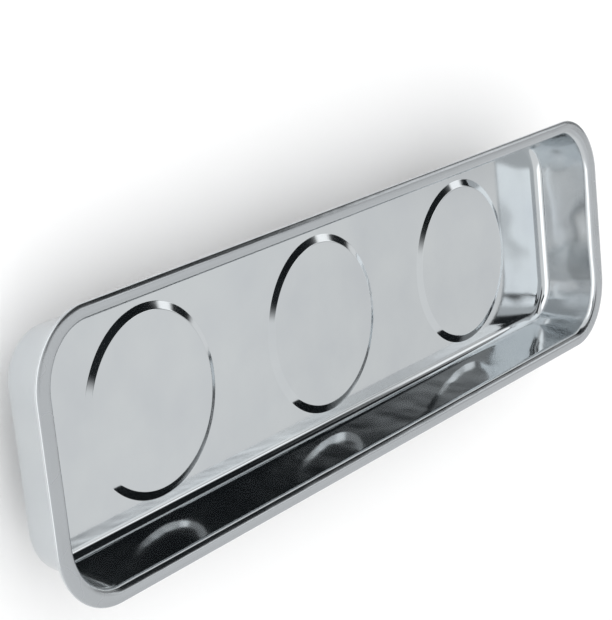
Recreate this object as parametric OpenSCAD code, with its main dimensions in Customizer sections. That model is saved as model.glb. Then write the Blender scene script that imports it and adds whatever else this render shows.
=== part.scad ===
// Magnetic parts tray: a pressed stainless pan on three rubber-covered magnet feet.
// It stands on its feet, dish up: X runs along its length and z = 0 is the plane it rests on.

/* [Pan] */
// Length over the rim
tray_l = 360; // [340:1:420]
// Width over the rim
tray_w = 100; // [97:1:140]
// Height of the pan, from the underside of the floor to the top of the rim
tray_h = 25; // [18:0.5:40]
// Corner radius of the rim's outer edge
rim_corner_r = 26; // [20:0.5:36]
// Thickness of the sheet
sheet_t = 0.6; // [0.4:0.05:1]
// Lean of the walls from upright, in degrees
wall_draft = 9.8; // [5:0.1:12]
// Radius in the dish between floor and wall
floor_bend_r = 4; // [2:0.25:5]

/* [Rim] */
// Width of the lip at the two ends, from its outer edge to where it bends down into the wall
lip_end_w = 4.8; // [4:0.1:6]
// Width of the lip along the two sides
lip_side_w = 2.9; // [2.8:0.1:5]
// Corner radius of the dish, where the lip bends down
dish_corner_r = 23; // [20:0.5:28]
// Radius on the dish side between lip and wall
lip_bend_r = 3; // [2:0.1:4]
// Width of the hem folded under the lip
hem_w = 3.8; // [3:0.1:3.9]
// Gap between the lip and its hem
hem_gap = 0.3; // [0.1:0.05:0.6]

/* [Magnet seats] */
// Spacing of the three seats along the tray
seat_pitch = 101.5; // [85:0.5:115]
// Diameter of a raised seat, at the foot of its ramp
seat_d = 69; // [68:0.1:70]
// Width of the ramp round a seat
seat_ramp_w = 3.3; // [3:0.05:3.6]
// Height of a seat above the floor
seat_h = 1; // [0.6:0.05:1.3]
// Radius in the dish at the foot of a seat's ramp
seat_foot_r = 0.5; // [0.3:0.1:1]
// Radius on the underside at the crest of a seat's ramp
seat_crest_r = 1.2; // [0.6:0.1:1.5]

/* [Rubber covers] */
// Height of a foot, from its face to the underside of the floor
foot_h = 18; // [16:0.5:26]
// Reach of the flange past the foot of the seat's ramp, all round
cover_flange_reach = 0.8; // [0.5:0.05:1.1]
// Width of the flange, out from the side
cover_flange_w = 2; // [1:0.1:3]
// Taper of the side, from the flange to the face
cover_taper = 0.7; // [0:0.05:1.2]
// Thickness of the spigot that stands in the seat's recess
cover_spigot_t = 0.8; // [0.6:0.05:1.2]
// Thickness of the flange
cover_flange_t = 2.6; // [2:0.1:4]
// Thickness of the face
cover_face_t = 3; // [2.4:0.1:4]
// Radius of the face's edge
cover_edge_r = 2; // [1:0.1:2.5]
// Radius of the flange's edge, on the side away from the pan
cover_flange_r = 0.8; // [0.3:0.1:1.5]
// Diameter of the hole in the middle of the face
cover_hole_d = 5; // [3:0.1:8]
// Number of ring grooves in the face
groove_count = 6; // [3:1:6]
// Radius of the first groove
groove_first_r = 12; // [10:0.1:12.5]
// Distance of the last groove from the edge of the face
groove_margin = 4.6; // [4:0.1:8]
// Width of a groove, which is half round
groove_w = 1.6; // [0.8:0.1:2]

/* [Magnets] */
// Bore of the ring magnet
magnet_bore_d = 24; // [24:0.5:30]
// Thickness of the pole plate
pole_plate_t = 2; // [1.5:0.1:3]
// Distance of the clamp plate's edge from the edge of the magnet
clamp_inset = 1.5; // [1:0.1:6]
// Thickness of the clamp plate
clamp_t = 1.5; // [1:0.1:2]
// Depth of the dish in the clamp plate, which hides the nut
clamp_dish_h = 8; // [7.5:0.1:9]
// Lean of the dish's wall over its height
clamp_dish_lean = 2; // [0.5:0.1:3]

/* [Fasteners] */
// Thread diameter of the weld stud
stud_d = 5; // [4:0.5:5]
// Diameter of the stud's weld flange
stud_flange_d = 6.5; // [6:0.1:7]
// Thickness of the stud's weld flange
stud_flange_t = 0.8; // [0.5:0.1:1.2]
// Length of thread that shows past the nut
stud_end = 1.5; // [0.5:0.1:2]
// Chamfer at the tip of the stud
stud_chamfer = 0.6; // [0.2:0.1:1]
// Width of the nut across its flats
nut_af = 8; // [7:0.1:9]
// Height of the nut
nut_h = 4; // [3:0.1:4.5]
// Diameter of the washer
washer_d = 10; // [9:0.1:11]
// Thickness of the washer
washer_t = 1; // [0.6:0.1:1.2]

/* [Clearances] */
// Radial clearance of the rubber cover round the magnet and inside the seat
cover_gap = 0.2; // [0.1:0.05:0.5]
// Radial clearance of the stud in the nut
thread_gap = 0.05; // [0.02:0.01:0.1]
// Radial clearance of the stud in the plates and the washer
stud_gap = 0.25; // [0.1:0.05:0.5]
// Radial clearance between the clamp plate's dish and the bore of the magnet
dish_gap = 0.5; // [0.2:0.05:1]

/* [Hidden] */
$fn = 96;

steel_polished = "#b9bec1";
steel_zinc = "#a9adb0";
rubber_black = "#25292c";
ferrite_grey = "#3b3d40";

// Heights above the plane the tray rests on
floor_z = foot_h + sheet_t;
seat_z = foot_h + seat_h;
rim_z = foot_h + tray_h;
pole_plate_z = seat_z - pole_plate_t;
clamp_z = cover_face_t;
magnet_z = clamp_z + clamp_t;
magnet_t = pole_plate_z - magnet_z;
dish_top_z = clamp_z + clamp_dish_h;
nut_z = dish_top_z - washer_t - nut_h;
stud_tip_z = nut_z - stud_end;

// Centres of the corners of the rim and of the dish
rim_centre = [tray_l / 2 - rim_corner_r, tray_w / 2 - rim_corner_r];
dish_centre = [tray_l / 2 - lip_end_w - dish_corner_r, tray_w / 2 - lip_side_w - dish_corner_r];

// Places along the wall, measured outward from the centre of a dish corner
bends_r = lip_bend_r + floor_bend_r;
wall_drop = rim_z - floor_z - bends_r * (1 - sin(wall_draft));
wall_run = bends_r * cos(wall_draft) + wall_drop * tan(wall_draft);
floor_bend_x = dish_corner_r - wall_run;
wall_len = wall_drop / cos(wall_draft);

// The hem is flat but for the fold that joins it to the lip
fold_r = sheet_t + hem_gap / 2;
fold_x = rim_corner_r - fold_r;
hem_len = hem_w - fold_r;

// Width of the flats that walls, seats and rim bring with them, where they are joined to floor and lip
floor_lap = 0.4;
lip_lap = 0.2;

// A seat's ramp is a straight slope that is tangent to the bends at its foot and its crest
ramp_bends_r = seat_foot_r + sheet_t + seat_crest_r;
ramp_angle = atan2(seat_h - ramp_bends_r, seat_ramp_w)
             + asin(ramp_bends_r / norm([seat_ramp_w, seat_h - ramp_bends_r]));
ramp_len = seat_ramp_w * cos(ramp_angle) + (seat_h - ramp_bends_r) * sin(ramp_angle);

// What is inside a seat follows from it: the cover's spigot, then the magnet with its plates
seat_top_d = seat_d - 2 * seat_ramp_w;
cover_bore_r = seat_top_d / 2 - cover_gap - cover_spigot_t;
magnet_d = 2 * (cover_bore_r - cover_gap);
clamp_d = magnet_d - 2 * clamp_inset;
stud_hole_r = stud_d / 2 + stud_gap;

// Radii of a cover, from the flange that closes the seat down to the face with its grooves
cover_flange_outer_r = seat_d / 2 + cover_flange_reach;
cover_side_r = cover_flange_outer_r - cover_flange_w;
cover_face_r = cover_side_r - cover_taper;
groove_pitch = (cover_face_r - groove_margin - groove_first_r) / (groove_count - 1);

// The sheet in section is bent up run by run: each module draws its run of sheet from the
// origin along +X, one thickness high, and puts what follows at the end of it
module flat(length) {
    square([length, sheet_t]);
    translate([length, 0]) children();
}

// A bend of the given inner radius, upward where the angle is positive
module bend(inner_r, angle) {
    outer_r = inner_r + sheet_t;
    centre_y = angle > 0 ? outer_r : -inner_r;
    translate([0, centre_y]) {
        intersection() {
            difference() {
                circle(outer_r);
                circle(inner_r);
            }
            translate([0, -outer_r]) square(2 * outer_r);
            rotate(angle) translate([-2 * outer_r, -outer_r]) square(2 * outer_r);
        }
        rotate(angle) translate([0, -centre_y]) children();
    }
}

// Section from the edge of the floor up the wall and over to the lip
module wall_section() {
    translate([floor_bend_x - floor_lap, foot_h])
        flat(floor_lap)
        bend(floor_bend_r, 90 - wall_draft)
        flat(wall_len)
        bend(lip_bend_r - sheet_t, wall_draft - 90)
        flat(lip_lap);
}

// Section from the lip round its folded edge and back under it as the hem
module hem_section() {
    translate([fold_x - lip_lap, rim_z - sheet_t])
        flat(lip_lap)
        bend(hem_gap / 2, -180)
        flat(hem_len);
}

// A section swept round the tray, about the given centres of its corners
module sweep(centre) {
    for (turn = [0, 180]) rotate(turn) {
        translate([centre.x, 0]) straight_run(2 * centre.y) children();
        rotate(90) translate([centre.y, 0]) straight_run(2 * centre.x) children();
        translate(centre) rotate_extrude(angle = 90) children();
        translate([-centre.x, centre.y]) rotate(90) rotate_extrude(angle = 90) children();
    }
}

module straight_run(length) {
    rotate([90, 0, 0]) linear_extrude(length, center = true) children();
}

// A rectangle with round corners, about the given centres of its corners
module outline(centre, r) {
    square([2 * centre.x, 2 * (centre.y + r)], center = true);
    square([2 * (centre.x + r), 2 * centre.y], center = true);
    for (x = [-1, 1], y = [-1, 1]) translate([x * centre.x, y * centre.y]) circle(r);
}

// Flat of the floor, to the middle of its laps with the walls and the seats
module floor_flat() {
    translate([0, 0, foot_h]) linear_extrude(sheet_t) difference() {
        outline(dish_centre, floor_bend_x - floor_lap / 2);
        at_each_seat() circle(seat_d / 2 + floor_lap / 2);
    }
}

// Flat of the lip, to the middle of its laps with the wall and the fold
module lip_flat() {
    translate([0, 0, rim_z - sheet_t]) linear_extrude(sheet_t) difference() {
        outline(rim_centre, fold_x - lip_lap / 2);
        outline(dish_centre, dish_corner_r + lip_lap / 2);
    }
}

// Section of a raised seat, from the foot of its ramp in to its middle
module seat_section() {
    intersection() {
        translate([seat_d / 2 + floor_lap, foot_h]) mirror([1, 0])
            flat(floor_lap)
            bend(seat_foot_r, ramp_angle)
            flat(ramp_len)
            bend(seat_crest_r, -ramp_angle)
            flat(seat_d / 2);
        square([seat_d, rim_z]);
    }
}

module at_each_seat() {
    for (i = [-1, 0, 1]) translate([i * seat_pitch, 0]) children();
}

// The pan: one drawn sheet with a hemmed rim and three raised magnet seats
module tray_pan() {
    color(steel_polished) {
        floor_flat();
        at_each_seat() rotate_extrude() seat_section();
        sweep(dish_centre) wall_section();
        lip_flat();
        sweep(rim_centre) hem_section();
    }
}

// Outer shape of a rubber cover in section: rounded face edge, tapered side and flange
module cover_outline() {
    edge_x = cover_face_r - cover_edge_r;
    flange_edge_x = cover_flange_outer_r - cover_flange_r;
    flange_z = foot_h - cover_flange_t;
    flange_edge_z = flange_z + cover_flange_r;
    square([edge_x, foot_h]);
    translate([edge_x, cover_edge_r]) circle(cover_edge_r);
    polygon([[0, cover_edge_r], [cover_face_r, cover_edge_r], [cover_side_r, flange_z],
             [cover_side_r, foot_h], [0, foot_h]]);
    translate([0, flange_z]) square([flange_edge_x, cover_flange_t]);
    translate([0, flange_edge_z]) square([cover_flange_outer_r, foot_h - flange_edge_z]);
    translate([flange_edge_x, flange_edge_z]) circle(cover_flange_r);
}

// Rubber cover: a cup round the magnet, with a spigot that stands in the seat's recess
module cover() {
    color(rubber_black) rotate_extrude() difference() {
        union() {
            cover_outline();
            square([seat_top_d / 2 - cover_gap, seat_z]);
        }
        translate([0, cover_face_t]) square([cover_bore_r, seat_z]);
        square([cover_hole_d / 2, foot_h]);
        for (i = [0 : groove_count - 1])
            translate([groove_first_r + i * groove_pitch, 0]) circle(groove_w / 2);
    }
}

// A round plate with a hole, standing on z
module round_plate(d, hole_d, t, z) {
    translate([0, 0, z]) rotate_extrude()
        translate([hole_d / 2, 0]) square([(d - hole_d) / 2, t]);
}

module magnet() {
    color(ferrite_grey) round_plate(magnet_d, magnet_bore_d, magnet_t, magnet_z);
}

module pole_plate() {
    color(steel_zinc)
        round_plate(magnet_d, stud_flange_d + 2 * stud_gap, pole_plate_t, pole_plate_z);
}

// Clamp plate: its dish stands up in the magnet's bore and has the stud through its top
module clamp_plate() {
    dish_r = magnet_bore_d / 2 - dish_gap;
    top_r = dish_r - clamp_dish_lean;
    color(steel_zinc) rotate_extrude()
        polygon([[clamp_d / 2, clamp_z], [clamp_d / 2, magnet_z], [dish_r, magnet_z],
                 [top_r, dish_top_z + clamp_t], [stud_hole_r, dish_top_z + clamp_t],
                 [stud_hole_r, dish_top_z], [top_r - clamp_t, dish_top_z],
                 [dish_r - clamp_t, clamp_z]]);
}

module washer() {
    color(steel_zinc) round_plate(washer_d, 2 * stud_hole_r, washer_t, dish_top_z - washer_t);
}

module nut() {
    color(steel_zinc) translate([0, 0, nut_z]) linear_extrude(nut_h) difference() {
        circle(d = nut_af / cos(30), $fn = 6);
        circle(d = stud_d + 2 * thread_gap);
    }
}

// Weld stud: its flange is on the underside of the seat, its tip is chamfered
module stud() {
    stud_r = stud_d / 2;
    flange_z = seat_z - stud_flange_t;
    color(steel_zinc) rotate_extrude()
        polygon([[0, stud_tip_z], [stud_r - stud_chamfer, stud_tip_z],
                 [stud_r, stud_tip_z + stud_chamfer], [stud_r, flange_z],
                 [stud_flange_d / 2, flange_z], [stud_flange_d / 2, seat_z], [0, seat_z]]);
}

module at_left() { translate([-seat_pitch, 0, 0]) children(); }
module at_right() { translate([seat_pitch, 0, 0]) children(); }

tray_pan();

at_left() cover();  // left_cover
at_left() magnet();  // left_magnet
at_left() pole_plate();  // left_pole_plate
at_left() clamp_plate();  // left_clamp_plate
at_left() washer();  // left_washer
at_left() nut();  // left_nut
at_left() stud();  // left_stud

cover();  // centre_cover
magnet();  // centre_magnet
pole_plate();  // centre_pole_plate
clamp_plate();  // centre_clamp_plate
washer();  // centre_washer
nut();  // centre_nut
stud();  // centre_stud

at_right() cover();  // right_cover
at_right() magnet();  // right_magnet
at_right() pole_plate();  // right_pole_plate
at_right() clamp_plate();  // right_clamp_plate
at_right() washer();  // right_washer
at_right() nut();  // right_nut
at_right() stud();  // right_stud
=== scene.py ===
# %% [markdown]
# # A magnetic parts tray
# A long steel dish for screws and sockets, pressed from one polished sheet, stands on three magnets
# in black rubber cups. This lesson dresses the measured model of the tray: the sheet and the rubber
# are modelled again as smooth meshes, every surface gets a material made of nodes, and a small studio
# of white and black card gives the steel something to mirror.

# %% Load the measured model
import math

import bmesh
import bpy
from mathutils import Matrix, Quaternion, Vector


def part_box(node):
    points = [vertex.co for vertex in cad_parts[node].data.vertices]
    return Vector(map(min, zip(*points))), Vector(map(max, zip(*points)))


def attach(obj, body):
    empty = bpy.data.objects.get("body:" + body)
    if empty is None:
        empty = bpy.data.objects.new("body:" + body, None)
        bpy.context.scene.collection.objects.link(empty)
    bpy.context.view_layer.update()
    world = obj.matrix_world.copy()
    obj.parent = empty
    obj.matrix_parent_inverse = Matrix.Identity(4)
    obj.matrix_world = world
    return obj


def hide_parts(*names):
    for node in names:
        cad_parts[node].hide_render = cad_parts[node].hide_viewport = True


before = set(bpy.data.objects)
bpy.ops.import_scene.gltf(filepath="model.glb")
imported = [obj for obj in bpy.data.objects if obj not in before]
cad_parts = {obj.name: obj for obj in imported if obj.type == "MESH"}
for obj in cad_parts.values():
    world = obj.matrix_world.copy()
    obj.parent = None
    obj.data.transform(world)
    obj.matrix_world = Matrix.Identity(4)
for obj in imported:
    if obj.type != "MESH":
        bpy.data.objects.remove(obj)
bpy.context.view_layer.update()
print("Nodes in the model:", len(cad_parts))

# %% [markdown]
# ## Sizes
# Lengths are written in millimetres, as on a drawing, and one short function turns them into Blender's
# metres. What the model can tell, such as the tray's length or the place of a foot, is measured from it
# and not typed again.


# %% Sizes that the model gives
def mm(length):
    """A length in millimetres, in Blender's metres."""
    return length / 1000


FEET = ("left", "centre", "right")
pan_low, pan_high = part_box("tray_pan")
pan_l, pan_w = pan_high.x - pan_low.x, pan_high.y - pan_low.y
rim_z = pan_high.z
foot_x = {foot: sum(corner.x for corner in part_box(f"{foot}_cover")) / 2 for foot in FEET}
print(f"Pan {pan_l:.3f} x {pan_w:.3f} m, rim at {rim_z:.3f} m, feet at {foot_x}")

# %% [markdown]
# The sheet has sizes of its own: its thickness, the width of the lip, the radii of its bends and the draft
# of its walls. The pan could be measured for them face by face, but a named value can be read at a glance.

# %% Sizes of the sheet
sheet_t = mm(0.6)
rim_corner_r = mm(26)
lip_side_w = mm(2.9)
lip_end_w = mm(4.8)
lip_bend_r = mm(3)
crown_r = mm(4)
hem_w = mm(3.8)
hem_gap = mm(0.3)
wall_draft = math.radians(9.8)
floor_bend_r = mm(4)
floor_z = pan_low.z + sheet_t
fold_r = sheet_t + hem_gap / 2
corner_x, corner_y = pan_l / 2 - rim_corner_r, pan_w / 2 - rim_corner_r
print(f"Corner centres at {corner_x:.3f}, {corner_y:.3f} m")

# %% [markdown]
# ## Tools for the sheet
# A press forms the pan from a flat blank, so the model is made in the same way: a flat outline is inset
# again and again, and each inset also goes up or down, so that the new ring follows the section of the
# wall. A section is a list of points, as distance from the centre of a corner and height. Its bends are
# arcs. A narrow strip at both ends of each flat run keeps the shading of the bends out of the flats,
# which matters on steel that mirrors everything.


# %% Points along a section
edge_strip = mm(0.3)


def arc(centre, radius, start, end, steps):
    """Points of an arc after its first one, with angles in degrees from the outward direction."""
    turns = [math.radians(start + (end - start) * i / steps) for i in range(1, steps + 1)]
    return [(centre[0] + radius * math.cos(t), centre[1] + radius * math.sin(t)) for t in turns]


def flat_run(start, end):
    """Points of a straight run after its first one, with a narrow strip at both ends."""
    start, end = Vector(start), Vector(end)
    strip = (end - start).normalized() * edge_strip
    return [tuple(start + strip), tuple(end - strip), tuple(end)]


# %% [markdown]
# Two helpers work in edit mode. One presses the selected face along a section, with one inset for each
# point. The other selects parts of a mesh by a test of their place, because an operator acts on all that
# is selected.


# %% Press a face along a section
def press(section, up=1):
    """Insets the selected face from point to point of a section; up is -1 for a face that looks down."""
    for (start_r, start_z), (end_r, end_z) in zip(section, section[1:]):
        bpy.ops.mesh.inset(thickness=start_r - end_r, depth=up * (end_z - start_z), use_even_offset=True)


def pick(piece, kind, test):
    """Selects the vertices, edges or faces of a piece in edit mode that pass a test, and only those."""
    bpy.ops.mesh.select_all(action="DESELECT")
    mesh = bmesh.from_edit_mesh(piece.data)
    chosen = [part for part in getattr(mesh, kind) if test(part)]
    for part in chosen:
        part.select_set(True)
    bmesh.update_edit_mesh(piece.data)
    return len(chosen)


# %% [markdown]
# ## The pan
# The real pan is one sheet of stainless steel, 0.6 mm thick. The blank starts as a plane of the tray's
# length and width, at the height of the outermost line of the folded edge. Its outline could be drawn point
# by point, but one bevel gives four equal corners with the radius of the rim.

# %% Cut the blank
corner_steps = 48
crown_start_deg = 65
crown_start = math.radians(crown_start_deg)
fold_centre_r = rim_corner_r - fold_r
crown_centre = (fold_centre_r - (crown_r - fold_r) * math.cos(crown_start), rim_z - crown_r)
fold_z = crown_centre[1] + (crown_r - fold_r) * math.sin(crown_start)
bpy.ops.object.select_all(action="DESELECT")
bpy.ops.mesh.primitive_plane_add(size=1, enter_editmode=True)
pan = bpy.context.object
pan.name = "pressed_pan"
bpy.ops.transform.resize(value=(pan_l, pan_w, 1))
bpy.ops.transform.translate(value=(0, 0, fold_z))
bpy.ops.mesh.bevel(offset=rim_corner_r, segments=corner_steps, affect="VERTICES")
outline_count = len(bmesh.from_edit_mesh(pan.data).verts)
print("Blank outline:", outline_count, "points")

# %% [markdown]
# The edge of the lip is folded under, so that no raw edge meets the hand. A hem modelled apart would have
# to be sewn on. This one is pressed down from a copy of the blank that looks the other way, so it meets the
# lip point for point, and the middle of the copy is then thrown away.

# %% Fold the hem under
fold_steps = 6
hem_rows = 4
hem_z = fold_z - fold_r
fold_centre = (fold_centre_r, fold_z)
hem_step = (hem_w - fold_r) / hem_rows
hem_row_r = [fold_centre_r - hem_step * row for row in range(1, hem_rows + 1)]
hem_section = [(rim_corner_r, fold_z)]
hem_section += arc(fold_centre, fold_r, 0, -90, fold_steps)
hem_section += [(r, hem_z) for r in hem_row_r]
bpy.ops.mesh.duplicate()
bpy.ops.mesh.flip_normals()
press(hem_section, up=-1)
bpy.ops.mesh.delete(type="FACE")
print("Hem section:", len(hem_section), "points")

# %% [markdown]
# The other side of the blank is pressed up round the fold and in over the lip. Its outer part is crowned
# and rolls down to the fold, because the press closed the hem over a rounded edge, and that gives the rim
# its thin dark and bright lines. The lip is wider at the two ends than along the sides, so the loop where
# it bends down is drawn in along the length only.

# %% Press the lip
crown_strip = mm(0.1)
lip_r = rim_corner_r - lip_side_w
lip_section = [(rim_corner_r, fold_z)]
lip_section += arc(fold_centre, fold_r, 0, crown_start_deg, fold_steps)
lip_section += arc(crown_centre, crown_r, crown_start_deg, 90, fold_steps)
lip_section += [(crown_centre[0] - crown_strip, rim_z), (lip_r + edge_strip, rim_z)]
pick(pan, "faces", lambda face: len(face.verts) == outline_count)
press(lip_section)
dish_l = pan_l - 2 * lip_end_w
stretch_x = dish_l / (pan_l - 2 * lip_side_w)
bpy.ops.transform.resize(value=(stretch_x, 1, 1))
print(f"Lip section: {len(lip_section)} points, dish {dish_l:.4f} m long")

# %% [markdown]
# From the lip the sheet bends down into the wall, which leans outward by the draft that lets a pan leave
# its die, and then round the bend to the floor. Bridging two outlines would do for the flat of the wall, but
# insets make the bends as well, each ring at an even distance from the last.

# %% Press the wall and the bend to the floor
bend_steps = 10
draft_deg = math.degrees(wall_draft)
lip_bend_centre = (lip_r, rim_z - lip_bend_r)
bends_r = lip_bend_r + floor_bend_r
wall_drop = rim_z - floor_z - bends_r * (1 - math.sin(wall_draft))
wall_run = bends_r * math.cos(wall_draft) + wall_drop * math.tan(wall_draft)
floor_bend_centre = (lip_r - wall_run, floor_z + floor_bend_r)
wall_foot = arc(floor_bend_centre, floor_bend_r, 0, -draft_deg, 1)[-1]
wall_section = [(lip_r + edge_strip, rim_z), (lip_r, rim_z)]
wall_section += arc(lip_bend_centre, lip_bend_r, 90, 180 - draft_deg, bend_steps)
wall_section += flat_run(wall_section[-1], wall_foot)
wall_section += arc(floor_bend_centre, floor_bend_r, -draft_deg, -90, bend_steps)
wall_section += [(floor_bend_centre[0] - edge_strip, floor_z)]
press(wall_section)
bpy.ops.mesh.delete(type="FACE")
print("Wall section:", len(wall_section), "points")

# %% [markdown]
# Three round seats are pressed up into the floor, one over each magnet. Each is a circle that rises over
# a straight ramp, with a sharp bend at its foot and a soft one at its crest. Bevels would only come near
# that, and a mirror shows every fault in a bend, so the section is worked out: the slope of the ramp follows
# from the two radii, because the ramp touches both bends.

# %% Section of a seat
seat_r, seat_top_r = mm(69) / 2, mm(62.4) / 2
seat_h = mm(1)
foot_r, crest_r = mm(0.5), mm(1.2) + sheet_t
foot_steps, crest_steps = 5, 8
seat_z = floor_z + seat_h
ramp_w = seat_r - seat_top_r
ramp_bends_r = foot_r + crest_r
bend_z = seat_h - ramp_bends_r
ramp_angle = math.atan2(bend_z, ramp_w) + math.asin(ramp_bends_r / math.hypot(ramp_w, bend_z))
ramp_deg = math.degrees(ramp_angle)
crest_centre = (seat_top_r, seat_z - crest_r)
crest_start = arc(crest_centre, crest_r, 90, 90 - ramp_deg, 1)[-1]
seat_section = [(seat_r + edge_strip, floor_z), (seat_r, floor_z)]
seat_section += arc((seat_r, floor_z + foot_r), foot_r, -90, -90 - ramp_deg, foot_steps)
seat_section += flat_run(seat_section[-1], crest_start)
seat_section += arc(crest_centre, crest_r, 90 - ramp_deg, 90, crest_steps)
seat_section += [(seat_top_r - edge_strip, seat_z)]
print(f"Ramp {ramp_w * 1000:.2f} mm wide, {ramp_deg:.1f} degrees steep")

# %% [markdown]
# A seat starts as a flat disc in the plane of the floor and is pressed along its section, as the pan was.
# A disc has an even ring of points, which keeps the mirrored lines on the ramp smooth.

# %% Press the three seats
seat_steps = 128
for foot in FEET:
    bpy.ops.mesh.select_all(action="DESELECT")
    bpy.ops.mesh.primitive_circle_add(
        vertices=seat_steps, radius=seat_section[0][0], fill_type="NGON", location=(foot_x[foot], 0, floor_z)
    )
    press(seat_section)
print("Seats at", [round(foot_x[foot], 4) for foot in FEET])

# %% [markdown]
# The floor is filled in between the loop at the foot of the walls and the three circles round the seats. It
# is flat, so the shape of the triangles doesn't show. Then the pieces of skin are merged into one.

# %% Fill the floor between the walls and the seats
merge_distance = mm(0.001)
flat_z = floor_z + merge_distance
loops = pick(pan, "edges", lambda edge: edge.is_boundary and all(v.co.z < flat_z for v in edge.verts))
bpy.ops.mesh.fill(use_beauty=True)
bpy.ops.mesh.select_all(action="SELECT")
bpy.ops.mesh.remove_doubles(threshold=merge_distance)
bpy.ops.mesh.normals_make_consistent(inside=False)
floor_faces = [f for f in bmesh.from_edit_mesh(pan.data).faces if all(v.co.z < flat_z for v in f.verts)]
if floor_faces[0].normal.z < 0:
    bpy.ops.mesh.flip_normals()
print("Floor filled from", loops, "edges")

# %% [markdown]
# Round a corner the hem has too much metal for its smaller radius, so it gathers in small crimps, seven
# or eight to a corner, that fade out towards the fold. Noise would gather it unevenly, so columns of points
# are moved down by groups: the crest of each crimp most, its flanks less, and each row of the hem less than
# the one inside it.

# %% Crimp the hem at the corners
crimp_drop = mm(0.55)
crimp_columns = 6
crimp_fade = 1.5
level_tolerance = mm(0.01)
column_share = {0: 1.0, 1: 0.62, 5: 0.62, 2: 0.15, 4: 0.15}
column_angle = math.pi / 2 / corner_steps


def hem_place(vertex):
    """The row and the crimp column of a hem point at a corner, or None elsewhere."""
    x, y = abs(vertex.co.x) - corner_x, abs(vertex.co.y) - corner_y
    if min(x, y) <= 0 or abs(vertex.co.z - hem_z) > level_tolerance:
        return None
    row = round((fold_centre_r - math.hypot(x, y)) / hem_step)
    return row, round(math.atan2(y, x) / column_angle) % crimp_columns


groups = [(row, column) for row in range(1, hem_rows + 1) for column in column_share]
places = {}
for vertex in bmesh.from_edit_mesh(pan.data).verts:
    places.setdefault(hem_place(vertex), []).append(vertex.index)
for row, column in groups:
    members = set(places.get((row, column), []))
    pick(pan, "verts", lambda vertex: vertex.index in members)
    drop = crimp_drop * column_share[column] * (row / hem_rows) ** crimp_fade
    bpy.ops.transform.translate(value=(0, 0, -drop))
print("Crimped points:", sum(len(places.get(group, [])) for group in groups))

# %% [markdown]
# So far the pan is a skin, the upper side of the sheet. A Solidify modifier adds the other side, square to
# the surface everywhere, so that bends and flats are equally thick. Moving a copy down would thin the walls.

# %% Give the sheet its thickness
smooth_angle = math.radians(40)
bpy.ops.object.mode_set(mode="OBJECT")
thickness = pan.modifiers.new("thickness", "SOLIDIFY")
thickness.thickness = sheet_t
thickness.offset = -1
thickness.use_even_offset = True
thickness.use_quality_normals = True
bpy.ops.object.modifier_apply(modifier=thickness.name)
bpy.ops.object.shade_smooth_by_angle(angle=smooth_angle)
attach(pan, "root")
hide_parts("tray_pan")
print("Pan faces:", len(pan.data.polygons))

# %% [markdown]
# ## The rubber cups
# Each magnet sits in a moulded rubber cup that keeps it from scratching what it holds. Six ring grooves
# in the face stop it from slipping. A cup is round, so half of its section is drawn as a line, by
# pulling one point from place to place, and spun once round. It is modelled once and copied to the
# other two feet.

# %% Section of a cup
cup_low, cup_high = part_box("centre_cover")
flange_r = (cup_high.x - cup_low.x) / 2
flange_top_z = pan_low.z
face_r = mm(65.2) / 2
side_r = mm(66.6) / 2
flange_t = mm(2.6)
flange_edge_r = mm(0.8)
cup_edge_r = mm(2)
bore_r = mm(60.4) / 2
spigot_r = mm(62) / 2
face_t = mm(3)
hole_r = mm(5) / 2
groove_count = 6
groove_first_r = mm(12)
groove_pitch = mm(3.2)
groove_r = mm(0.8)
groove_steps = 8
flange_low_z = flange_top_z - flange_t

cup_section = [(hole_r, 0)]
for groove in range(groove_count):
    groove_mid = groove_first_r + groove * groove_pitch
    cup_section += [(groove_mid - groove_r, 0)]
    cup_section += arc((groove_mid, 0), groove_r, 180, 0, groove_steps)
cup_section += [(face_r - cup_edge_r, 0)]
cup_section += arc((face_r - cup_edge_r, cup_edge_r), cup_edge_r, -90, 0, bend_steps)
cup_section += [(side_r, flange_low_z), (flange_r - flange_edge_r, flange_low_z)]
flange_edge_centre = (flange_r - flange_edge_r, flange_low_z + flange_edge_r)
cup_section += arc(flange_edge_centre, flange_edge_r, -90, 0, fold_steps)
cup_section += [(flange_r, flange_top_z), (spigot_r, flange_top_z), (spigot_r, cup_high.z)]
cup_section += [(bore_r, cup_high.z), (bore_r, face_t), (hole_r, face_t), (hole_r, 0)]
print("Cup section:", len(cup_section), "points")

# %% [markdown]
# A small plane merged into one point starts the line, and extruding that point from place to place draws
# the half section. One full spin makes the cup of it. The spin ends where it began, so the doubled points
# are merged, and then all faces are turned outwards.

# %% Draw the section and spin it
spin_steps = 128
bpy.ops.object.select_all(action="DESELECT")
bpy.ops.mesh.primitive_plane_add(size=mm(1), enter_editmode=True)
cup = bpy.context.object
cup.name = "centre_rubber_cup"
bpy.ops.mesh.merge(type="CENTER")
bpy.ops.transform.translate(value=(foot_x["centre"] + cup_section[0][0], 0, cup_section[0][1]))
for (start_r, start_z), (end_r, end_z) in zip(cup_section, cup_section[1:]):
    bpy.ops.mesh.extrude_region_move(
        TRANSFORM_OT_translate={"value": (end_r - start_r, 0, end_z - start_z)}
    )
bpy.ops.mesh.select_all(action="SELECT")
bpy.ops.mesh.spin(steps=spin_steps, angle=2 * math.pi, center=(foot_x["centre"], 0, 0), axis=(0, 0, 1))
bpy.ops.mesh.select_all(action="SELECT")
bpy.ops.mesh.remove_doubles(threshold=merge_distance)
bpy.ops.mesh.normals_make_consistent(inside=False)
bpy.ops.object.mode_set(mode="OBJECT")
print("Cup faces:", len(cup.data.polygons))

# %% [markdown]
# A moulded edge is never quite sharp. A small bevel gives each edge its line of light, and then the cup is
# copied to the other two feet, each copy with a mesh of its own.

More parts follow.
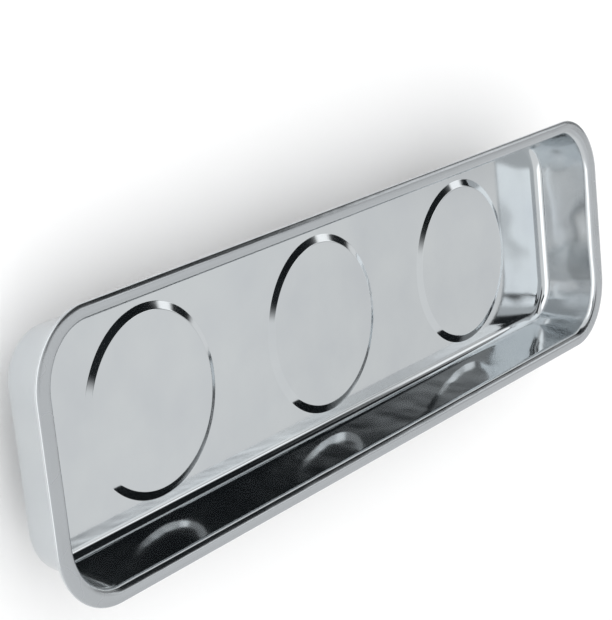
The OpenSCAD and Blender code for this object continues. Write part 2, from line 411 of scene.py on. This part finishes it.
# %% Soften the moulded edges and copy the cup
moulded_edge_w = mm(0.15)
moulded = cup.modifiers.new("moulded edges", "BEVEL")
moulded.width = moulded_edge_w
moulded.segments = 2
moulded.limit_method = "ANGLE"
moulded.angle_limit = smooth_angle
bpy.ops.object.modifier_apply(modifier=moulded.name)
bpy.ops.object.shade_smooth_by_angle(angle=smooth_angle)
cups = {"centre": cup}
for foot in ("left", "right"):
    bpy.ops.object.select_all(action="DESELECT")
    cup.select_set(True)
    bpy.context.view_layer.objects.active = cup
    bpy.ops.object.duplicate(linked=False)
    cups[foot] = bpy.context.object
    cups[foot].name = f"{foot}_rubber_cup"
    bpy.ops.transform.translate(value=(foot_x[foot] - foot_x["centre"], 0, 0))
    bpy.ops.object.transform_apply(location=True, rotation=False, scale=False)
for foot in FEET:
    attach(cups[foot], "root")
    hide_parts(f"{foot}_cover")
print("Cups:", [cups[foot].name for foot in FEET])

# %% [markdown]
# ## Materials
# A colour is written as the hex value that a paint program shows, and one function turns it to the
# linear values that Blender mixes. A second function adds a node with its settings and what feeds it.


# %% Colour and node tools
def linear(hex_colour):
    """An sRGB hex colour as linear red, green, blue and alpha."""
    channels = [int(hex_colour[i : i + 2], 16) / 255 for i in (1, 3, 5)]
    return [c / 12.92 if c <= 0.04045 else ((c + 0.055) / 1.055) ** 2.4 for c in channels] + [1]


def add_node(tree, kind, feeds=None, **settings):
    """Adds a node of a kind, sets it up, and feeds its sockets with values or with other sockets."""
    node = tree.nodes.new(kind)
    for name, value in settings.items():
        setattr(node, name, value)
    for socket, value in (feeds or {}).items():
        if isinstance(value, bpy.types.NodeSocket):
            tree.links.new(value, node.inputs[socket])
        else:
            node.inputs[socket].default_value = value
    return node


def new_material(name):
    """An empty material with its output node; returns the material, its tree and the output."""
    material = bpy.data.materials.new(name)
    material.use_nodes = True
    material.node_tree.nodes.clear()
    return material, material.node_tree, add_node(material.node_tree, "ShaderNodeOutputMaterial")


# %% [markdown]
# ### Polished stainless steel
# Cold-rolled stainless sheet is bright from the mill, so it mirrors the room with hardly any blur. Pressing
# and use leave broad marks and no scratches: the tone and the gloss drift in soft, cloudy patches a few
# centimetres across. One noise drives both, because on the real sheet they come and go together.

# %% Tone and gloss of the steel
patch_size = mm(22)
# It gives the eye a near mirror, a little clouded, whose images bend where the sheet was drawn.
steel, tree, output = new_material("polished_stainless_steel")
place = add_node(tree, "ShaderNodeTexCoord")
split = add_node(tree, "ShaderNodeSeparateXYZ", {"Vector": place.outputs["Object"]})
patches = add_node(
    tree,
    "ShaderNodeTexNoise",
    {"Vector": place.outputs["Object"], "Scale": 1 / patch_size, "Detail": 3},
)
tone = add_node(
    tree,
    "ShaderNodeMix",
    {"Factor": patches.outputs["Fac"], "A": linear("#bcc0c4"), "B": linear("#cacecf")},
    data_type="RGBA",
)
gloss = add_node(
    tree,
    "ShaderNodeMapRange",
    {"Value": patches.outputs["Fac"], "From Min": 0.3, "From Max": 0.7, "To Min": 0.05, "To Max": 0.09},
)
print("Steel clouded in patches of", patch_size, "m")

# %% [markdown]
# The press dulls the sheet where it draws it: a little on the long walls and more on the two end walls,
# into which metal is drawn from three sides. The top of the lip is rubbed grey by hands and tools. Both
# depend on the place on the pan, so they are read from its coordinates and need no painted mask.

# %% Dulled walls and rubbed lip
wall_start, wall_full = floor_z + mm(2), floor_z + mm(8)
end_start, end_full = corner_x - mm(10), corner_x + mm(10)
lip_start, lip_full = rim_z - mm(1), rim_z - mm(0.3)
side_dulling, end_dulling, lip_dulling = 0.03, 0.1, 0.1
drawn = add_node(
    tree,
    "ShaderNodeMapRange",
    {"Value": split.outputs["Z"], "From Min": wall_start, "From Max": wall_full},
)
reach = add_node(tree, "ShaderNodeMath", {0: split.outputs["X"]}, operation="ABSOLUTE")
ends = add_node(
    tree,
    "ShaderNodeMapRange",
    {
        "Value": reach.outputs["Value"],
        "From Min": end_start,
        "From Max": end_full,
        "To Min": side_dulling,
        "To Max": end_dulling,
    },
)
dulled = add_node(
    tree,
    "ShaderNodeMath",
    {0: drawn.outputs["Result"], 1: ends.outputs["Result"], 2: gloss.outputs["Result"]},
    operation="MULTIPLY_ADD",
)
rim = add_node(
    tree,
    "ShaderNodeMapRange",
    {"Value": split.outputs["Z"], "From Min": lip_start, "From Max": lip_full},
)
rubbed = add_node(
    tree,
    "ShaderNodeMath",
    {0: rim.outputs["Result"], 1: lip_dulling, 2: dulled.outputs["Value"]},
    operation="MULTIPLY_ADD",
)
rubbed_tone = add_node(
    tree,
    "ShaderNodeMix",
    {"Factor": rim.outputs["Result"], "A": tone.outputs["Result"], "B": linear("#b1b5b8")},
    data_type="RGBA",
)
print("Walls dulled by", side_dulling, "and", end_dulling, "and the lip by", lip_dulling)

# %% [markdown]
# No pressed sheet is a flat mirror. It wavers very gently all over, more on the drawn walls, and the end
# walls have broad, soft dents. They could be sculpted, but on a mirror a slight turn of the normal is all
# that shows, so they are three bumps, one on top of the other, with heights in real lengths.

# %% Waver and dents of the steel
waver_size, waver_h = mm(26), mm(0.05)
pull_size, pull_h = mm(14), mm(0.2)
# Noise strays only a little from its middle, so the dents come out much shallower than this.
dent_h = mm(2.4)
dent_start, dent_full = corner_x - mm(5), corner_x + mm(15)
waver = add_node(
    tree,
    "ShaderNodeTexNoise",
    {"Vector": place.outputs["Object"], "Scale": 1 / waver_size, "Detail": 1},
)
ripple = add_node(
    tree,
    "ShaderNodeBump",
    {"Height": waver.outputs["Fac"], "Distance": waver_h, "Strength": 1},
)
pull = add_node(
    tree,
    "ShaderNodeTexNoise",
    {"Vector": place.outputs["Object"], "Scale": 1 / pull_size, "Detail": 1},
)
drawn_ripple = add_node(
    tree,
    "ShaderNodeBump",
    {
        "Height": pull.outputs["Fac"],
        "Distance": pull_h,
        "Strength": drawn.outputs["Result"],
        "Normal": ripple.outputs["Normal"],
    },
)
dented = add_node(
    tree,
    "ShaderNodeMapRange",
    {
        "Value": reach.outputs["Value"],
        "From Min": dent_start,
        "From Max": dent_full,
        "To Max": drawn.outputs["Result"],
    },
)
dents = add_node(
    tree,
    "ShaderNodeBump",
    {
        "Height": waver.outputs["Fac"],
        "Distance": dent_h,
        "Strength": dented.outputs["Result"],
        "Normal": drawn_ripple.outputs["Normal"],
    },
)
shader = add_node(
    tree,
    "ShaderNodeBsdfPrincipled",
    {
        "Base Color": rubbed_tone.outputs["Result"],
        "Metallic": 1,
        "Roughness": rubbed.outputs["Value"],
        "Normal": dents.outputs["Normal"],
    },
)
tree.links.new(shader.outputs["BSDF"], output.inputs["Surface"])
pan.data.materials.append(steel)
print("Made", steel.name, "with", len(tree.nodes), "nodes")

# %% [markdown]
# ### Moulded black rubber
# The face of a cup is matte, because it is pressed against things, and the sides keep the gloss of the
# mould. A faint grey bloom, as old rubber shows, breaks up the black in soft patches. The gloss follows the
# height above the face, so one material does for the whole cup.

# %% Moulded black rubber
bloom_size = mm(9)
# The grain of a mould is finer than this, and is drawn coarse enough to show.
grain_size, grain_h = mm(1.2), mm(0.03)
dull_z, glossy_z = mm(0.6), mm(2)
# It gives the eye a soft black, dull on the face, with a low sheen round the sides.
rubber, tree, output = new_material("moulded_black_rubber")
place = add_node(tree, "ShaderNodeTexCoord")
split = add_node(tree, "ShaderNodeSeparateXYZ", {"Vector": place.outputs["Object"]})
bloom = add_node(
    tree,
    "ShaderNodeTexNoise",
    {"Vector": place.outputs["Object"], "Scale": 1 / bloom_size, "Detail": 4},
)
tone = add_node(
    tree,
    "ShaderNodeMix",
    {"Factor": bloom.outputs["Fac"], "A": linear("#1b1e20"), "B": linear("#272b2e")},
    data_type="RGBA",
)
gloss = add_node(
    tree,
    "ShaderNodeMapRange",
    {"Value": split.outputs["Z"], "From Min": dull_z, "From Max": glossy_z, "To Min": 0.7, "To Max": 0.32},
)
grain = add_node(
    tree,
    "ShaderNodeTexNoise",
    {"Vector": place.outputs["Object"], "Scale": 1 / grain_size, "Detail": 2},
)
skin = add_node(
    tree,
    "ShaderNodeBump",
    {"Height": grain.outputs["Fac"], "Distance": grain_h, "Strength": 1},
)
shader = add_node(
    tree,
    "ShaderNodeBsdfPrincipled",
    {
        "Base Color": tone.outputs["Result"],
        "Roughness": gloss.outputs["Result"],
        "Normal": skin.outputs["Normal"],
    },
)
tree.links.new(shader.outputs["BSDF"], output.inputs["Surface"])
for foot in FEET:
    cups[foot].data.materials.append(rubber)
print("Made", rubber.name, "with", len(tree.nodes), "nodes")

# %% [markdown]
# ### Sintered ferrite
# The ring magnets inside the cups are a dark ceramic, pressed from powder, fired and ground dull, with a
# fine speckle. Noise with much detail gives the speckle without any drawn grains.

# %% Sintered ferrite
# The grains of the powder are far finer than this, and are drawn coarse enough to show.
speckle_size = mm(1.5)
# It gives the eye a dry, dark grey with hardly any shine.
ferrite, tree, output = new_material("sintered_ferrite")
place = add_node(tree, "ShaderNodeTexCoord")
speckle = add_node(
    tree,
    "ShaderNodeTexNoise",
    {"Vector": place.outputs["Object"], "Scale": 1 / speckle_size, "Detail": 5},
)
tone = add_node(
    tree,
    "ShaderNodeMix",
    {"Factor": speckle.outputs["Fac"], "A": linear("#2f3134"), "B": linear("#494c50")},
    data_type="RGBA",
)
shader = add_node(
    tree,
    "ShaderNodeBsdfPrincipled",
    {"Base Color": tone.outputs["Result"], "Roughness": 0.6},
)
tree.links.new(shader.outputs["BSDF"], output.inputs["Surface"])
print("Made", ferrite.name, "with", len(tree.nodes), "nodes")

# %% [markdown]
# ### Zinc-plated steel
# The plates, studs, washers and nuts are steel with a thin bright coat of zinc. Its clear passivation
# drifts between a blue and a yellow tint, and its gloss is uneven. As with the pan, one noise drives both.

# %% Zinc-plated steel
drift_size = mm(12)
# It gives the eye a pale, faintly tinted metal with a soft shine.
zinc, tree, output = new_material("bright_zinc_plate")
place = add_node(tree, "ShaderNodeTexCoord")
drift = add_node(
    tree,
    "ShaderNodeTexNoise",
    {"Vector": place.outputs["Object"], "Scale": 1 / drift_size, "Detail": 3},
)
tone = add_node(
    tree,
    "ShaderNodeMix",
    {"Factor": drift.outputs["Fac"], "A": linear("#b3bac2"), "B": linear("#c4c1b4")},
    data_type="RGBA",
)
gloss = add_node(
    tree,
    "ShaderNodeMapRange",
    {"Value": drift.outputs["Fac"], "From Min": 0.3, "From Max": 0.7, "To Min": 0.28, "To Max": 0.42},
)
shader = add_node(
    tree,
    "ShaderNodeBsdfPrincipled",
    {"Base Color": tone.outputs["Result"], "Metallic": 1, "Roughness": gloss.outputs["Result"]},
)
tree.links.new(shader.outputs["BSDF"], output.inputs["Surface"])
print("Made", zinc.name, "with", len(tree.nodes), "nodes")

# %% [markdown]
# The pieces inside the feet are hidden by the cups, so they are used as the model has them, and only their
# materials change.

# %% Dress the pieces inside the feet
inner_finish = {"magnet": ferrite}
for part in ("pole_plate", "clamp_plate", "washer", "nut", "stud"):
    inner_finish[part] = zinc
for foot in FEET:
    for part, finish in inner_finish.items():
        piece = bpy.data.objects[f"{foot}_{part}"]
        piece.data.materials.clear()
        piece.data.materials.append(finish)
print("Dressed", len(FEET) * len(inner_finish), "pieces")

# %% [markdown]
# ## Studio
# Polished steel shows what stands round it more than its own colour, so the studio matters as much as the
# tray. The floor is white paper. Its material is clear from below, so that a look from there sees the feet.

# %% Floor
floor_size = 8
bpy.ops.object.select_all(action="DESELECT")
bpy.ops.mesh.primitive_plane_add(size=floor_size)
floor = bpy.context.object
floor.name = "studio_floor"
paper, tree, output = new_material("white_paper")
side = add_node(tree, "ShaderNodeNewGeometry")
white = add_node(tree, "ShaderNodeBsdfDiffuse", {"Color": linear("#fafafa")})
clear = add_node(tree, "ShaderNodeBsdfTransparent")
sheet = add_node(
    tree,
    "ShaderNodeMixShader",
    {0: side.outputs["Backfacing"], 1: white.outputs["BSDF"], 2: clear.outputs["BSDF"]},
)
tree.links.new(sheet.outputs["Shader"], output.inputs["Surface"])
floor.data.materials.append(paper)
# The feet stand right on the paper. If dull surfaces met it, the feet would look black from below.
floor.visible_diffuse = False
floor.visible_shadow = False
print("Floor", tuple(floor.dimensions))

# %% [markdown]
# The surround lights everything softly, a little below full white, which leaves room for the light of the
# glowing cards. To the camera and in mirrors it is plain white, like the background of a catalogue picture.
# Lamps would do for the rubber, but on the steel each one would show as a hard spot.

# %% Surround
fill_level = 0.95
world = bpy.data.worlds.new("white_surround")
bpy.context.scene.world = world
world.use_nodes = True
tree = world.node_tree
tree.nodes.clear()
path = add_node(tree, "ShaderNodeLightPath")
mirrored = add_node(
    tree,
    "ShaderNodeMath",
    {0: path.outputs["Is Camera Ray"], 1: path.outputs["Is Glossy Ray"]},
    operation="ADD",
)
seen = add_node(
    tree,
    "ShaderNodeMath",
    {0: mirrored.outputs["Value"], 1: path.outputs["Is Transmission Ray"]},
    operation="ADD",
    use_clamp=True,
)
level = add_node(
    tree,
    "ShaderNodeMapRange",
    {"Value": seen.outputs["Value"], "To Min": fill_level, "To Max": 1},
)
sky = add_node(
    tree,
    "ShaderNodeBackground",
    {"Color": linear("#ffffff"), "Strength": level.outputs["Result"]},
)
add_node(tree, "ShaderNodeOutputWorld", {"Surface": sky.outputs["Background"]})
print("Surround at", fill_level)

# %% [markdown]
# ### Cards
# Black cards give the steel its dark lines, and glowing ones its bright lines. A card is placed by the
# directions of its corners as seen from the tray. Its edge fades out, as the edge of a card does in a mirror
# that isn't quite flat: the outline is inset, and an attribute runs from 0 on the rim to 1 inside it.


# %% Directions and the soft edge
def direction(azimuth, elevation):
    """A direction from its azimuth, from +X towards +Y, and its elevation, in degrees."""
    a, e = math.radians(azimuth), math.radians(elevation)
    return Vector((math.cos(a) * math.cos(e), math.sin(a) * math.cos(e), math.sin(e)))


def card_material(name, glow, depth):
    """A card that fades to clear at its rim: black, or white where it has a glow; depth is its density."""
    material, tree, output = new_material(name)
    cover = add_node(tree, "ShaderNodeAttribute", attribute_name="cover")
    fade = add_node(
        tree,
        "ShaderNodeMapRange",
        {"Value": cover.outputs["Fac"], "To Max": depth},
        interpolation_type="SMOOTHSTEP",
    )
    clear = add_node(tree, "ShaderNodeBsdfTransparent")
    if glow > 0:
        face = add_node(tree, "ShaderNodeEmission", {"Color": linear("#ffffff"), "Strength": glow})
    else:
        face = add_node(tree, "ShaderNodeBsdfDiffuse", {"Color": linear("#202325")})
    mixed = add_node(
        tree, "ShaderNodeMixShader", {0: fade.outputs["Result"], 1: clear.outputs[0], 2: face.outputs[0]}
    )
    tree.links.new(mixed.outputs["Shader"], output.inputs["Surface"])
    return material


# %% [markdown]
# A card is drawn as the cups were, from one point that is extruded from corner to corner, and then filled.
# The steel mirrors it, but the camera doesn't see it, and it casts no shadow. A black card is hidden from
# dull surfaces too, so that it takes no light from them, while a glowing one lights them a little.


# %% Hang a card
def hang_card(name, corners, distance, feather, glow=0, depth=1):
    """Hangs a card with its corners in these directions; feather is the width of its soft edge in degrees."""
    points = [direction(*corner) * distance for corner in corners]
    bpy.ops.object.select_all(action="DESELECT")
    bpy.ops.mesh.primitive_plane_add(size=mm(1), enter_editmode=True)
    card = bpy.context.object
    card.name = name
    bpy.ops.mesh.merge(type="CENTER")
    bpy.ops.transform.translate(value=points[0])
    for start, end in zip(points, points[1:]):
        bpy.ops.mesh.extrude_region_move(TRANSFORM_OT_translate={"value": end - start})
    bpy.ops.mesh.select_all(action="SELECT")
    bpy.ops.mesh.edge_face_add()
    bpy.ops.mesh.inset(thickness=math.radians(feather) * distance, use_even_offset=True)
    bpy.ops.object.mode_set(mode="OBJECT")
    cover = card.data.attributes.new("cover", "FLOAT", "POINT")
    for vertex in card.data.vertices:
        cover.data[vertex.index].value = float(vertex.select)
    card.data.materials.append(card_material(name, glow, depth))
    card.visible_camera = False
    card.visible_shadow = False
    card.visible_diffuse = glow > 0


# %% [markdown]
# The black cards are the dark side of the studio. The high one makes the dark arcs round the seats, the
# side one darkens the long near wall, and the low one ends an arc. The near one hangs close over the tray,
# so that each part of the steel sees it in another direction. The veils are thin: they turn white to grey.

# %% Hang the black cards
card_distance = 3
near_distance = 0.27
high_corners = [(9.9, 35), (7.4, 47), (2, 58), (-22, 74), (-40, 80), (60, 84), (64, 60), (64, 28), (27, 26)]
side_corners = [(26.5, 8), (26.5, 24), (29, 34), (31, 60), (64, 60), (64, 8)]
near_corners = [(60, 76), (8, 46), (30, 42), (80, 62)]
low_corners = [(-3, 14), (9, 13), (12, 27.5), (-2, 28)]
veil_corners = [(3, 4), (3, 24), (12, 39), (34, 39), (36, 4)]
left_corners = [(-70, -20), (-7, -20), (-7, 38), (-70, 38)]
far_corners = [(-13, 24), (4, 24), (4, 50), (-14, 50)]
hang_card("high_card", high_corners, card_distance, feather=6)
hang_card("side_card", side_corners, card_distance, feather=5)
hang_card("near_card", near_corners, near_distance, feather=5)
hang_card("low_card", low_corners, card_distance, feather=2.5)
hang_card("veil_card", veil_corners, card_distance, feather=4, depth=0.6)
hang_card("left_card", left_corners, card_distance, feather=9, depth=0.08)
hang_card("far_veil_card", far_corners, card_distance, feather=4, depth=0.3)
print("Black cards hung at", card_distance, "and", near_distance, "m")

# %% [markdown]
# The glowing cards hang in front of the black ones. The window breaks each dark arc with a bright gap. The
# band reaches the floor by way of the near wall, and lights a strip along its foot. The broad one stands on
# the camera's side, which the end wall faces.

# %% Hang the glowing cards
window_distance = 2.6
window_corners = [(-1, 28), (8, 25.5), (24, 30), (15, 37), (3, 37)]
camera_corners = [(85, 15), (150, 12), (228, 15), (228, 62), (150, 66), (85, 58)]
band_corners = [(-6, 41), (6.5, 38), (8, 46), (6, 53), (-6, 53)]
hang_card("window_card", window_corners, window_distance, feather=2.5, glow=1.5)
hang_card("camera_card", camera_corners, window_distance, feather=14, glow=2)
hang_card("band_card", band_corners, window_distance, feather=2.5, glow=1.6)
print("Glowing cards hung at", window_distance, "m")

# %% [markdown]
# ## Camera
# The camera is where the photo was taken from, and is turned on its side, as the photo is. It could be set
# by eye, but here it was worked out from the corners of the rim and the seats, so that these fall in place.

# %% Camera
camera_place = Vector((mm(-590.0), mm(190.8), mm(459.6)))
camera_aim = Vector((mm(-9.6), mm(7.9), mm(18.6)))
camera_roll = math.radians(94.58)
lens = bpy.data.cameras.new("photo_camera")
lens.lens = 115.53
lens.sensor_width = 36
camera = bpy.data.objects.new("photo_camera", lens)
bpy.context.scene.collection.objects.link(camera)
camera.location = camera_place
camera.rotation_mode = "QUATERNION"
upright = (camera_aim - camera_place).to_track_quat("-Z", "Y")
camera.rotation_quaternion = upright @ Quaternion((0, 0, 1), camera_roll)
bpy.context.scene.camera = camera
bpy.context.scene.view_settings.view_transform = "Standard"
print("Camera at", tuple(round(value, 3) for value in camera_place), "m")
